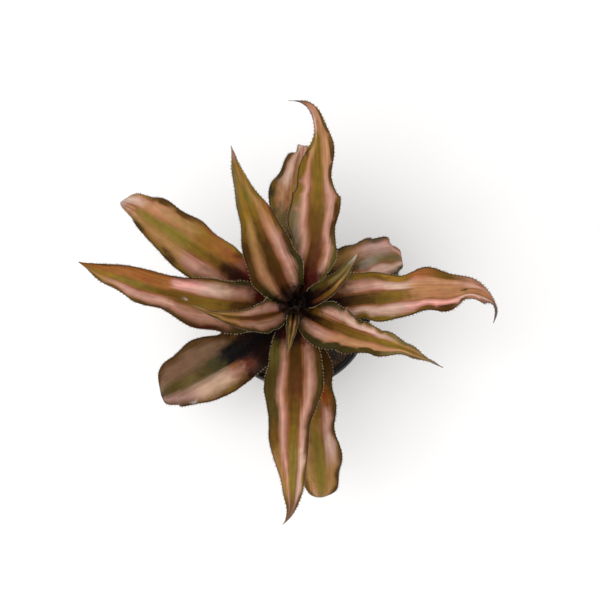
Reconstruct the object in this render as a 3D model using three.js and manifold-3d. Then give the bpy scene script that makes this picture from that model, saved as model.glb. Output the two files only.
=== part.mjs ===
// An earth star (Cryptanthus), a small ground bromeliad, in its round nursery pot.
// Millimetres, +Z up. The pot stands on z = 0 and its axis is the Z axis.

import * as THREE from "three";
import { mergeVertices } from "three/addons/utils/BufferGeometryUtils.js";
import Module from "manifold-3d";

// ---- Driving dimensions ----

const gap = 0.3; // between pieces that touch

// The pot: a thin moulded cone whose wall steps out to a straight band at the rim.
const potHeight = 58;
const rimRadius = 31;
const rimBandHeight = 7;
const rimStep = 1.4; // the band stands out from the wall by this much
const rimRound = 0.4;
const footRadius = 21;
const footRound = 0.8;
const wallThickness = 1.1;
const floorThickness = 1.6;
const footHeight = 2.4; // the wall's foot, straight before it flares
const drainCount = 6;
const drainRadius = 2.5;
const drainCircle = 13.5;
const drainSides = 16;
const potSides = 48;

// The potting mix: its top dishes a little and is lumpy.
const soilTop = 51.6;
const soilDish = 1.2; // lower at the stem than at the wall
const soilLump = 0.7;
const soilSides = 32;
const soilRings = 6;
const holeDepth = 16;

// The stem, with the root crown in the mix, a taper that the leaves grow from and a bud at the top.
const stemRadius = 6;
const taperFrom = 54; // the heights between which the stem tapers
const taperTo = 66;
const budRadius = 2.3;
const stemShoulder = 74.2; // where the stem starts to close to its bud
const budTop = 76;
const scarPitch = 3.6; // old leaf scars ring the stem
const scarDepth = 0.35;
const stemFootRound = 1.5;
const stemSides = 20;
const budRings = 5;

// A leaf's blade, thick along its midrib and thin at its edges.
const ribBase = 1.2;
const ribBelly = 1.55; // the thickest place, a fifth of the way out
const ribTip = 1.0;
const bellyAt = 0.2;
const edgeThickness = 0.75;
const bluntTip = 0.05; // the tip's width, of the full width
const foldedBy = 0.3; // the t where the sides are folded up in full
const mostTurn = 75; // degrees, of a side's edge against the midrib
const wavesFrom = 0.12; // the t where the edges start to wave
const wavesFade = 0.2;
const waveGrowth = 2.5; // a wave grows from the midrib to the edge by this power
const heelSlope = 22; // degrees; a leaf's heel leaves the stem at this slope
const heelEnd = 6.3; // the radius where the heel ends and the blade starts, at the least
const heelSteps = 2;
const leafSteps = 26;
const leafColumns = 6;
const firstGrownLeaf = 3; // counted from 0, from the heart out
const firstOldLeaf = 9;

// What most leaves share. Angles are in degrees, t runs from 0 at the stem to 1 at the tip.
//   heading, sweep  where the leaf sets off to, from +X, and how far it turns on its way
//   hook, hookAt    a further turn near the tip, and the t where it starts
//   rise, fall, lag the slope at the base and at the tip, and how late it changes
//   neck            the base's width, of the full width
//   full, widest    the t where the neck ends, and where the tip's taper starts
//   taper           under 1 is a hollow taper, 1 straight, over 1 ever rounder
//   fold            how far the sides turn up
//   wave            height of the waves along the edges
//   left, right     each edge's waves: how many, the phase of the first, and the swing sideways
//   leftBow, rightBow  a slow swing of each edge's outline, given in the same way
const commonLeaf = {
  sweep: 0,
  hook: 0,
  hookAt: 0.75,
  lag: 1.6,
  neck: 0.6,
  full: 0.22,
  widest: 0.38,
  taper: 1.3,
  fold: 12,
  wave: 1.5,
  left: [4, 0, 0.7],
  right: [4, 0.3, 0.7],
  leftBow: [1, 0, 0],
  rightBow: [1, 0, 0],
};

// The rosette, from the heart out and down. Length, width, root, level and swings are in millimetres.
const leaves = [
  { heading: 7.5, level: 75.5, length: 37, width: 9, rise: 58, fall: 42, root: 5, sweep: 50,
    neck: 0.7, widest: 0.3, taper: 1.5, fold: 40, wave: 0.3, left: [4, 0, 0.15],
    right: [4, 0.3, 0.15] },
  { heading: 267, level: 75.6, length: 30.6, width: 5, rise: 60, fall: 38, root: 4.9, sweep: -6,
    neck: 0.8, widest: 0.3, taper: 1.5, fold: 40, wave: 0.3, left: [4, 0, 0.15],
    right: [4, 0.3, 0.15] },
  { heading: 211.7, level: 73.35, length: 46.5, width: 15.3, rise: 52, fall: 28, sweep: -52.4,
    neck: 0.62, widest: 0.34, taper: 0.72, fold: 35, wave: 0.8, left: [6.1, 0.33, 0.4],
    right: [3, 0.47, 0.07], leftBow: [0.9, 0.9, 0.75], rightBow: [0.4, 0.6, 2.29] },
  { heading: 120.6, level: 71.2, length: 64.9, width: 23.8, rise: 48, fall: 24, root: 6.8, sweep: -14.6,
    neck: 0.72, widest: 0.22, taper: 0.92, fold: 15, wave: 0.9, left: [4.2, 0.48, 0.39],
    right: [4.4, 0.65, 0.28], leftBow: [2.2, 0.44, 0.41], rightBow: [1.5, 0.45, 0.92] },
  { heading: 320.4, level: 70.4, length: 67, width: 20, rise: 45, fall: 18, root: 6.8, sweep: 34.5,
    hook: -25.3, hookAt: 0.58, neck: 0.68, widest: 0.32, taper: 0.58, fold: 15, wave: 1,
    left: [6.3, 0.11, 0.27], right: [4.8, 0.19, 0.85], leftBow: [1.2, 0.49, 1.14],
    rightBow: [1.2, 0.59, 0.71] },
  { heading: 67.2, level: 68.8, length: 82.7, width: 18.8, rise: 36, fall: 0, sweep: 39.9,
    hook: 69.3, hookAt: 0.8, neck: 0.59, widest: 0.49, taper: 0.5, left: [3.6, 0.01, 1.19],
    right: [4, 0.46, 0.75], leftBow: [1, 0.71, 2.96], rightBow: [1.3, 0.19, 2.14] },
  { heading: 3.1, level: 67.25, length: 84.7, width: 19.2, rise: 32, fall: -30, sweep: -2.1,
    hook: -107.9, hookAt: 0.77, widest: 0.42, taper: 1.21, left: [4.7, 0.59, 0.55],
    right: [6, 0.24, 0.88], leftBow: [2.2, 0.84, 1.8], rightBow: [4.2, 0.57, 0.94] },
  { heading: 185.6, level: 66.6, length: 81.7, width: 21.7, rise: 30, fall: 5, sweep: -29.9,
    widest: 0.36, taper: 1.32, left: [4.3, 0.3, 0.97], right: [2.6, 0.33, 0.27],
    leftBow: [1.9, 0.63, 1], rightBow: [0.6, 0.58, 2.37] },
  { heading: 270.8, level: 65.1, length: 82, width: 20.3, rise: 25, fall: -12, sweep: -3.2,
    hook: -35.9, hookAt: 0.88, neck: 0.69, taper: 1.03, left: [4, 0.68, 0.32],
    right: [3.3, 0.15, 0.57], leftBow: [1.8, 0.76, 1.33], rightBow: [0.7, 0.83, 2.22] },
  { heading: 150.5, level: 62.8, length: 83, width: 21.9, rise: 20, fall: -62, lag: 3, sweep: -5,
    taper: 2.2, left: [3.9, 0.34, 0.31], right: [5.3, 0.45, 0.24], leftBow: [1.2, 0.72, 1.46],
    rightBow: [0.4, 0.73, 4.49] },
  { heading: 92.5, level: 61.3, length: 75, width: 19.3, rise: 15, fall: -80, lag: 2.5,
    sweep: -13.2, widest: 0.35, taper: 1.8, left: [5, 0.5, 0.39], right: [4, 0.51, 0.6],
    leftBow: [1.7, 0.34, 1.64] },
  { heading: 38.1, level: 59.7, length: 49.6, width: 21.3, rise: 12, fall: -85, lag: 3,
    sweep: -31.3, widest: 0.41, taper: 2.9, left: [6.4, 0.31, 0.06], right: [4, 0.26, 0.58],
    leftBow: [1.9, 0.78, 0.77] },
  { heading: 220.8, level: 58.4, length: 65.5, width: 24.2, rise: 10, fall: -75, lag: 2.5,
    sweep: -22.5, widest: 0.43, taper: 3.17, left: [5.8, 0.8, 0.13], right: [2.8, 0.78, 0.83],
    leftBow: [1.6, 0.48, 1.04], rightBow: [1.2, 0.36, 1.74] },
  { heading: 283.1, level: 56.8, length: 77.8, width: 18, rise: 10, fall: -80, lag: 3, sweep: -12.1,
    widest: 0.42, taper: 4.12, left: [4.4, 0.26, 0.68], right: [4.2, 0.2, 0.43],
    leftBow: [1.6, 0.89, 1.05], rightBow: [1.2, 0.25, 1.01] },
];

// ---- Materials ----

const leafMaterial = new THREE.MeshStandardMaterial({ color: "#8f6a4c", roughness: 0.5, metalness: 0 });
const youngLeafMaterial = new THREE.MeshStandardMaterial({ color: "#86714a", roughness: 0.5, metalness: 0 });
const oldLeafMaterial = new THREE.MeshStandardMaterial({ color: "#a2714d", roughness: 0.55, metalness: 0 });
const stemMaterial = new THREE.MeshStandardMaterial({ color: "#4a3524", roughness: 0.8, metalness: 0 });
const soilMaterial = new THREE.MeshStandardMaterial({ color: "#4b3f37", roughness: 1, metalness: 0 });
const potMaterial = new THREE.MeshStandardMaterial({ color: "#1b1a1b", roughness: 0.5, metalness: 0 });

// ---- Shared helpers ----

const radians = THREE.MathUtils.degToRad;
const ease = (x) => THREE.MathUtils.smoothstep(x, 0, 1);

// A closed mesh from its corners and its triangles' corner numbers.
function meshOf(name, corners, triangles, material) {
  const geometry = new THREE.BufferGeometry();
  geometry.setAttribute("position", new THREE.Float32BufferAttribute(corners.flatMap((p) => [...p]), 3));
  geometry.setIndex(triangles);
  geometry.computeVertexNormals();
  const mesh = new THREE.Mesh(geometry, material);
  mesh.name = name;
  return mesh;
}

// ---- Leaves ----

// The stem's radius at height z.
function stemRadiusAt(z) {
  const climb = THREE.MathUtils.clamp((z - taperFrom) / (taperTo - taperFrom), 0, 1);
  return stemRadius + (budRadius - stemRadius) * climb;
}

// The direction that the leaf grows in, at t along it. The heel has a t under 0.
function growth(leaf, t) {
  const slope = radians(t < 0 ? heelSlope : leaf.rise + (leaf.fall - leaf.rise) * t ** leaf.lag);
  const bend = leaf.hook * ease((t - leaf.hookAt) / (1 - leaf.hookAt));
  const heading = radians(leaf.heading + leaf.sweep * Math.max(t, 0) + bend);
  const along = new THREE.Vector3(
    Math.cos(slope) * Math.cos(heading), Math.cos(slope) * Math.sin(heading), Math.sin(slope));
  const across = new THREE.Vector3(-Math.sin(heading), Math.cos(heading), 0);
  const up = new THREE.Vector3().crossVectors(along, across);
  return { slope, along, across, up };
}

function halfWidth(leaf, t) {
  let share = leaf.neck + (1 - leaf.neck) * ease(t / leaf.full);
  if (t > leaf.widest) {
    share *= 1 - ((t - leaf.widest) / (1 - leaf.widest)) ** leaf.taper;
  }
  return 0.5 * leaf.width * Math.max(share, bluntTip);
}

// side runs from -1 at the right edge through 0 at the midrib to 1 at the left edge.
function thickness(t, side) {
  const swell = ribBase + (ribBelly - ribBase) * ease(t / bellyAt);
  const rib = swell + (ribTip - ribBelly) * ease((t - bellyAt) / (1 - bellyAt));
  return edgeThickness + (rib - edgeThickness) * (1 - Math.abs(side) ** 1.5);
}

// How far a swing stands out, from -1 to 1, at t. It fades away at the stem and at the tip.
function swingAt(t, [waves, phase]) {
  const fade = ease((t - wavesFrom) / wavesFade) * ease((1 - t) / wavesFade);
  return fade * Math.sin(2 * Math.PI * (waves * t + phase));
}

// One row across the blade: an arc whose ends carry the edges' waves. It gives the points of
// the upper and the lower face.
function leafRow(leaf, t, midrib, narrowing = 1) {
  const { slope, across, up } = growth(leaf, t);
  const half = narrowing * halfWidth(leaf, t);
  // Near the stem the blade lies on a cone round it, so that neighbours nest.
  const wrap = half * Math.max(Math.sin(slope), 0) / Math.hypot(midrib.x, midrib.y);
  const turn = Math.min(wrap + radians(leaf.fold) * ease(t / foldedBy), radians(mostTurn));
  const row = [];
  for (let j = 0; j <= leafColumns; j++) {
    const side = -1 + 2 * j / leafColumns;
    const edge = side > 0 ? leaf.left : leaf.right;
    const bow = side > 0 ? leaf.leftBow : leaf.rightBow;
    const swing = swingAt(t, edge);
    const sideways = side * (edge[2] * swing + bow[2] * swingAt(t, bow));
    const wave = leaf.wave * Math.abs(side) ** waveGrowth * swing;
    const angle = turn * side;
    const point = midrib.clone();
    point.addScaledVector(across, half * Math.sin(angle) / turn + sideways);
    point.addScaledVector(up, half * (1 - Math.cos(angle)) / turn + wave);
    const normal = up.clone().multiplyScalar(Math.cos(angle)).addScaledVector(across, -Math.sin(angle));
    const depth = 0.5 * thickness(t, side);
    row.push({
      top: point.clone().addScaledVector(normal, depth),
      bottom: point.clone().addScaledVector(normal, -depth),
    });
  }
  return row;
}

// The radius where a heel that ends at the root meets the stem.
function heelRadius(leaf, root) {
  let radius = root;
  for (let k = 0; k < 12; k++) {
    const z = leaf.level - (root - radius) * Math.tan(radians(heelSlope));
    radius = stemRadiusAt(z) + gap + 0.5 * ribBase * Math.sin(radians(heelSlope));
  }
  return radius;
}

// The leaf's rows from the stem to the tip.
function leafRows(leaf) {
  const start = radians(leaf.heading);
  const root = leaf.root ?? heelEnd + 0.5 * ribBase * Math.sin(radians(leaf.rise));
  const inner = heelRadius(leaf, root);
  const rows = [];
  // The heel narrows with its radius, so that neighbours nest round the stem.
  for (let i = 0; i < heelSteps; i++) {
    const radius = inner + (root - inner) * i / heelSteps;
    const z = leaf.level - (root - radius) * Math.tan(radians(heelSlope));
    const point = new THREE.Vector3(radius * Math.cos(start), radius * Math.sin(start), z);
    rows.push(leafRow(leaf, -1, point, radius / root));
  }
  const midrib = new THREE.Vector3(root * Math.cos(start), root * Math.sin(start), leaf.level);
  for (let i = 0; i <= leafSteps; i++) {
    const t = i / leafSteps;
    if (i > 0) {
      const middle = growth(leaf, (i - 0.5) / leafSteps);
      midrib.addScaledVector(middle.along, leaf.length / leafSteps);
    }
    rows.push(leafRow(leaf, t, midrib));
  }
  return rows;
}

// Both faces are split into triangles alike, and a narrow wall closes them all round.
function leafTriangles() {
  const columns = leafColumns + 1;
  const steps = heelSteps + leafSteps;
  const under = (steps + 1) * columns;
  const at = (i, j) => i * columns + j;
  const triangles = [];
  const addQuad = (a, b, c, d) => triangles.push(a, b, c, a, c, d);
  const addWall = (a, b) => addQuad(a, under + a, under + b, b);
  for (let i = 0; i < steps; i++) {
    for (let j = 0; j < leafColumns; j++) {
      const [a, b, c, d] = [at(i, j), at(i + 1, j), at(i + 1, j + 1), at(i, j + 1)];
      addQuad(a, b, c, d);
      triangles.push(under + a, under + c, under + b, under + a, under + d, under + c);
    }
    addWall(at(i, 0), at(i + 1, 0));
    addWall(at(i + 1, leafColumns), at(i, leafColumns));
  }
  for (let j = 0; j < leafColumns; j++) {
    addWall(at(0, j + 1), at(0, j));
    addWall(at(steps, j), at(steps, j + 1));
  }
  return triangles;
}

function leafMesh(leaf, index) {
  const rows = leafRows({ ...commonLeaf, ...leaf });
  const corners = [...rows.flat().map((point) => point.top), ...rows.flat().map((point) => point.bottom)];
  const grown = index < firstOldLeaf ? leafMaterial : oldLeafMaterial;
  const material = index < firstGrownLeaf ? youngLeafMaterial : grown;
  const name = `leaf_${String(index + 1).padStart(2, "0")}`;
  return meshOf(name, corners, leafTriangles(), material);
}

// ---- Stem ----

function stemMesh() {
  const foot = soilTop - soilDish - holeDepth + gap;
  const profile = [new THREE.Vector2(0, foot), new THREE.Vector2(stemRadius - stemFootRound, foot)];
  profile.push(new THREE.Vector2(stemRadius, foot + stemFootRound));
  for (let z = foot + scarPitch; z + scarPitch < stemShoulder; z += scarPitch) {
    profile.push(new THREE.Vector2(stemRadiusAt(z), z));
    profile.push(new THREE.Vector2(stemRadiusAt(z) - scarDepth, z + 0.3 * scarPitch));
    profile.push(new THREE.Vector2(stemRadiusAt(z + 0.6 * scarPitch), z + 0.6 * scarPitch));
  }
  for (let k = 0; k < budRings; k++) {
    const turn = 0.5 * Math.PI * k / budRings;
    const z = stemShoulder + (budTop - stemShoulder) * Math.sin(turn);
    profile.push(new THREE.Vector2(budRadius * Math.cos(turn), z));
  }
  profile.push(new THREE.Vector2(0, budTop));
  const mesh = new THREE.Mesh(new THREE.LatheGeometry(profile, stemSides), stemMaterial);
  mesh.name = "stem";
  mesh.geometry.rotateX(Math.PI / 2);
  return mesh;
}

// ---- Potting mix ----

const innerFoot = footRadius - wallThickness;
const innerBand = rimRadius - rimStep - wallThickness;

// The radius inside the pot's wall at height z.
function innerRadius(z) {
  const climb = (z - footHeight) / (potHeight - rimBandHeight - footHeight);
  return innerFoot + (innerBand - innerFoot) * THREE.MathUtils.clamp(climb, 0, 1);
}

function soilMesh() {
  const bottom = floorThickness + gap;
  const holeBottom = soilTop - soilDish - holeDepth;
  const edge = innerRadius(soilTop) - gap;
  const holeRadius = stemRadius + gap;
  const profile = [
    new THREE.Vector2(0, bottom),
    new THREE.Vector2(innerFoot - gap, bottom),
    new THREE.Vector2(innerRadius(footHeight) - gap, footHeight),
    new THREE.Vector2(innerRadius(potHeight - rimBandHeight) - gap, potHeight - rimBandHeight),
    new THREE.Vector2(edge, soilTop),
  ];
  for (let k = 1; k < soilRings; k++) {
    const share = k / soilRings;
    const radius = edge + (holeRadius - edge) * share;
    profile.push(new THREE.Vector2(radius, soilTop - soilDish * share));
  }
  profile.push(new THREE.Vector2(holeRadius, soilTop - soilDish));
  profile.push(new THREE.Vector2(holeRadius, holeBottom));
  profile.push(new THREE.Vector2(0, holeBottom));
  const geometry = new THREE.LatheGeometry(profile, soilSides);
  geometry.rotateX(Math.PI / 2);

  // Lumps stand up and sink in between the wall and the hole.
  const place = geometry.attributes.position;
  for (let i = 0; i < place.count; i++) {
    const x = place.getX(i);
    const y = place.getY(i);
    const radius = Math.hypot(x, y);
    const inside = radius > holeRadius + gap && radius < edge - gap;
    if (inside && place.getZ(i) > soilTop - soilDish - gap) {
      const lump = Math.sin(0.55 * x + 1.3) * Math.sin(0.6 * y + 0.4) + 0.6 * Math.sin(1.1 * x - 0.8 * y);
      place.setZ(i, place.getZ(i) + soilLump * lump);
    }
  }
  const mesh = new THREE.Mesh(geometry, soilMaterial);
  mesh.name = "soil";
  return mesh;
}

// ---- Pot ----

function potMesh(wasm) {
  const bandBottom = potHeight - rimBandHeight;
  const bandInside = rimRadius - wallThickness;
  const profile = [
    new THREE.Vector2(0, 0),
    new THREE.Vector2(footRadius - footRound, 0),
    new THREE.Vector2(footRadius, footRound),
    new THREE.Vector2(footRadius, footHeight),
    new THREE.Vector2(rimRadius - rimStep, bandBottom),
    new THREE.Vector2(rimRadius - rimRound, bandBottom + 0.5 * rimRound),
    new THREE.Vector2(rimRadius, potHeight - rimRound),
    new THREE.Vector2(rimRadius - 0.5 * rimRound, potHeight),
    new THREE.Vector2(bandInside + 0.5 * rimRound, potHeight),
    new THREE.Vector2(bandInside, potHeight - rimRound),
    new THREE.Vector2(bandInside - rimRound, bandBottom + wallThickness + 0.5 * rimRound),
    new THREE.Vector2(innerBand, bandBottom + wallThickness),
    new THREE.Vector2(innerBand, bandBottom),
    new THREE.Vector2(innerFoot, footHeight),
    new THREE.Vector2(innerFoot, floorThickness),
    new THREE.Vector2(0, floorThickness),
  ];
  const shell = new THREE.LatheGeometry(profile, potSides);
  shell.rotateX(Math.PI / 2);
  let pot = solidOf(wasm, shell);
  for (let k = 0; k < drainCount; k++) {
    const turn = 2 * Math.PI * k / drainCount;
    const hole = new THREE.CylinderGeometry(drainRadius, drainRadius, 3 * floorThickness, drainSides);
    hole.rotateX(Math.PI / 2);
    hole.translate(drainCircle * Math.cos(turn), drainCircle * Math.sin(turn), 0.5 * floorThickness);
    pot = pot.subtract(solidOf(wasm, hole));
  }
  const { vertProperties, triVerts } = pot.getMesh();
  const geometry = new THREE.BufferGeometry();
  geometry.setAttribute("position", new THREE.BufferAttribute(vertProperties, 3));
  geometry.setIndex(new THREE.BufferAttribute(triVerts, 1));
  geometry.computeVertexNormals();
  const mesh = new THREE.Mesh(geometry, potMaterial);
  mesh.name = "pot";
  return mesh;
}

// A closed geometry as a solid that can be cut.
function solidOf(wasm, geometry) {
  geometry.deleteAttribute("normal");
  geometry.deleteAttribute("uv");
  const merged = mergeVertices(geometry, 1e-4);
  return new wasm.Manifold(new wasm.Mesh({
    numProp: 3,
    vertProperties: new Float32Array(merged.attributes.position.array),
    triVerts: new Uint32Array(merged.index.array),
  }));
}

// ---- The whole plant ----

const wasm = await Module();
wasm.setup();

const plant = new THREE.Group();
plant.add(potMesh(wasm));
plant.add(soilMesh());
plant.add(stemMesh());
leaves.forEach((leaf, index) => plant.add(leafMesh(leaf, index)));

export default plant;
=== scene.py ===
# An earth star, a small ground bromeliad, in a black nursery pot.
# Everything is worked out in millimetres and turned to metres as each mesh is made.
import math
import random
from functools import partial

import bpy
import bmesh
from mathutils import Matrix, Vector, noise


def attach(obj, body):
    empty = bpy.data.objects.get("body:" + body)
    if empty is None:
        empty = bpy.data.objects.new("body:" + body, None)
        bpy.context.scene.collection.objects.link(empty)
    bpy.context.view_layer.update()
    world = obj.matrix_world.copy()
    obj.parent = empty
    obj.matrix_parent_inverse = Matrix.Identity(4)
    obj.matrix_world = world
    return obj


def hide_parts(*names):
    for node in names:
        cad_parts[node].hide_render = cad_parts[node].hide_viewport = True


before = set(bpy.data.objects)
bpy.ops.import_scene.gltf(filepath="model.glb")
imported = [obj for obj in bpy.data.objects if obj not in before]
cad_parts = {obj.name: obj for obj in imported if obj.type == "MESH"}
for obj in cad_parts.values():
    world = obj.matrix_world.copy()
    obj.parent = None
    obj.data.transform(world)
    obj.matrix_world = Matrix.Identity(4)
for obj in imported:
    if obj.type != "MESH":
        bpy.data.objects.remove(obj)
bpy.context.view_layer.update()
scene = bpy.context.scene
mm = 0.001


shot = {
    "elevation": 80,  # degrees above the floor
    "distance": 460,  # from the heart of the rosette
    "heartHeight": 72,
    "right": 2.353,  # how far the heart sits off the middle of the frame
    "up": 1.569,
    "lens": 70.4,
    "sensor": 36,
    "nearest": 10,
}


def placeCamera():
    tilt = math.radians(shot["elevation"])
    back = Vector((0, -math.cos(tilt), math.sin(tilt)))
    up = Vector((0, math.sin(tilt), math.cos(tilt)))
    spot = Vector((shot["right"], 0, shot["heartHeight"])) + up * shot["up"] + back * shot["distance"]
    data = bpy.data.cameras.new("overhead_camera")
    data.lens = shot["lens"]
    data.sensor_width = shot["sensor"]
    data.clip_start = shot["nearest"] * mm
    camera = bpy.data.objects.new("overhead_camera", data)
    camera.location = spot * mm
    camera.rotation_euler = (math.radians(90) - tilt, 0, 0)
    scene.collection.objects.link(camera)
    scene.camera = camera


placeCamera()
print("camera placed")


def ease(x):
    x = min(max(x, 0), 1)
    return x * x * (3 - 2 * x)


def mix(a, b, share):
    return a + (b - a) * share


def around(radius, turn, z=0):
    return Vector((radius * math.cos(turn), radius * math.sin(turn), z))


def evenTurns(count):
    return [2 * math.pi * n / count for n in range(count)]


# Turns an sRGB hex colour to linear.
def linear(hexColour):
    parts = [int(hexColour[i:i + 2], 16) / 255 for i in (1, 3, 5)]
    return [p / 12.92 if p <= 0.04045 else ((p + 0.055) / 1.055) ** 2.4 for p in parts] + [1]


# Sets sockets by name or in order. A value is a number, a colour or another node's output to link.
def setSockets(sockets, values):
    for name, value in values.items() if isinstance(values, dict) else enumerate(values):
        if isinstance(value, bpy.types.NodeSocket):
            value.id_data.links.new(value, sockets[name])
        else:
            sockets[name].default_value = value


# Adds a node and gives back its first output, or the one that is asked for by name.
def addNode(tree, kind, values=(), stops=(), output=0, **settings):
    node = tree.nodes.new("ShaderNode" + kind)
    for name, value in settings.items():
        setattr(node, name, value)
    setSockets(node.inputs, values)
    for n, (place, colour) in enumerate(stops):
        elements = node.color_ramp.elements
        if n == 0:
            elements.remove(elements[1])
            elements[0].position = place
        stop = elements.new(place) if n else elements[0]
        stop.color = linear(colour)
    return node.outputs[output]


# Gives the material, its own way to add a node, and the sockets of its shader.
def newMaterial(name):
    material = bpy.data.materials.new(name)
    material.use_nodes = True
    tree = material.node_tree
    return material, partial(addNode, tree), tree.nodes["Principled BSDF"].inputs


# Where a point of the piece is, in millimetres or in steps of so many along x, y and z.
def stepsOf(add, *sizes):
    place = add("TexCoord", output="Object")
    perMetre = [1 / (size * mm) for size in sizes or (1, 1, 1)]
    return add("VectorMath", (place, perMetre), operation="MULTIPLY")


# A mesh under construction: corners with their marks, and faces with their material's number.
def newBuild(*marks):
    return {"corners": [], "faces": [], "slots": [], "marks": {name: [] for name in marks}}


def addCorner(build, point, **marks):
    build["corners"].append(point)
    for name, values in build["marks"].items():
        values.append(marks.get(name, 0))
    return len(build["corners"]) - 1


def addFace(build, corners, slot=0):
    build["faces"].append(corners)
    build["slots"].append(slot)


# Joins rings of corners into one closed skin.
def joinRings(build, rings):
    for low, high in zip(rings, rings[1:]):
        for j in range(len(low)):
            k = (j + 1) % len(low)
            addFace(build, (low[j], low[k], high[k], high[j]))
    addFace(build, rings[0][::-1])
    addFace(build, rings[-1])


# Turns an outline of radii and heights round an upright axis.
def addTurned(build, outline, segments, axis=Vector((0, 0, 0))):
    joinRings(build, [[addCorner(build, axis + around(radius, turn, z)) for turn in evenTurns(segments)]
                      for radius, z in outline])


# Makes the object, smooth shaded and in metres. A mark with three values is stored as a vector.
def makePiece(name, build, materials):
    mesh = bpy.data.meshes.new(name)
    mesh.from_pydata([tuple(c * mm for c in point) for point in build["corners"]], [], build["faces"])
    for material in materials:
        mesh.materials.append(material)
    mesh.polygons.foreach_set("material_index", build["slots"])
    mesh.polygons.foreach_set("use_smooth", [True] * len(build["faces"]))
    for mark, values in build["marks"].items():
        if isinstance(values[0], (tuple, list)):
            layer = mesh.attributes.new(mark, "FLOAT_VECTOR", "POINT")
            layer.data.foreach_set("vector", [c for value in values for c in value])
        else:
            layer = mesh.attributes.new(mark, "FLOAT", "POINT")
            layer.data.foreach_set("value", values)
    mesh.validate()
    mesh.update()
    piece = bpy.data.objects.new(name, mesh)
    scene.collection.objects.link(piece)
    return piece


# Every piece stands for one CAD solid, which it replaces and hides.
def seat(piece, node):
    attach(piece, "root")
    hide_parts(node)


# The colours of the leaves. A name that ends in Core is a paler colour: the painted satin
# highlight that a stripe pales to along its middle, also laid on as a flush here and there. Heart
# and pitch are near-black: over the dark maroon of a leaf's base they are mostly painted shade,
# where a leaf runs down into the heart of the rosette and where it lies under the leaves above it.
pigments = {
    "heart": "#060202", "pitch": "#1e0b06", "maroon": "#3f1006", "wine": "#57281a",
    "chestnut": "#542f12", "rust": "#6e3713", "ember": "#8f3f10", "umber": "#472d0a",
    "brown": "#614312", "bronze": "#735718", "olive": "#786424", "ochre": "#85601e",
    "khaki": "#6d5a34", "leafGreen": "#574b1d", "darkOlive": "#44350e", "moss": "#373012",
    "sienna": "#8c5426", "tan": "#8d6637", "tanCore": "#9a7444", "peach": "#a3704b",
    "peachCore": "#ae805c", "blush": "#91644d", "blushCore": "#a57a65", "rose": "#a67562",
    "roseCore": "#bb8e7b", "paleRose": "#b38c79", "paleRoseCore": "#c8a693", "buff": "#b29079",
    "coral": "#bf8072", "coralCore": "#dba094", "mauve": "#826154", "mauveCore": "#917063",
    "taupe": "#684c38", "russet": "#81502f", "withered": "#4b4642", "ash": "#6f6660",
    "silver": "#a99e95", "edge": "#2a190d",
}

smooth = {"interpolation_type": "SMOOTHSTEP"}

# What most leaf skins share. Lengths are in millimetres; t runs from the stem to the tip and s from
# the right edge, -1, to the left, 1.
skinDetail = {
    "borders": (-0.66, -0.25, 0.3, 0.7),  # where the five bands meet, from the right edge to the left
    "soft": 0.1,  # half the width of a band's soft border
    "strandLong": 24.0, "strandWide": 0.6,  # the strands that the borders and the sheen follow
    "feather": 0.18,  # how far the strands draw the borders out
    "swayLong": 14.0, "swayWide": 4.0,
    "sway": 0.22,  # how far slow noise moves the bands
    "mottleLong": 3.52, "mottleWide": 2.2,
    "stagger": 0.12,  # how far the mottling moves a change of bands along the leaf
    "scale": 0.45,  # silvery suction scales; real ones are 0.2 mm, drawn coarser to show
    "scurf": 0.07,  # how strongly the scales show
    "streak": 0.13,  # how far the strands lighten and darken it
    "blotch": (0.86, 1.1), "hueShift": (0.49, 0.51),  # how far the mottling and slow noise tint it
    "edgeFrom": 0.93, "edgeTo": 0.98, "edgeRagged": 0.06,  # the dark line along the edge
    "edgeDark": (0.15, 0.8), "edgeDarkFrom": 0.1, "edgeDarkTo": 0.45,  # its strength, from base to blade
    "dark": 8,  # how far out the dark base reaches: painted shade of the deep heart over the base's own dark maroon
    "darkStart": -0.03, "darkCover": 0.92,
    "tipFrom": 0.92, "tipTo": 1.02, "tipCover": 0.9,
    "flushes": [],  # ovals of another colour: name, t, s, reach in t, width in s, strength
    "flushCore": 0.25,  # the share of an oval that has its full strength
    "roughness": (0.4, 0.56), "bump": 0.5, "relief": 0.25,
}
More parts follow.
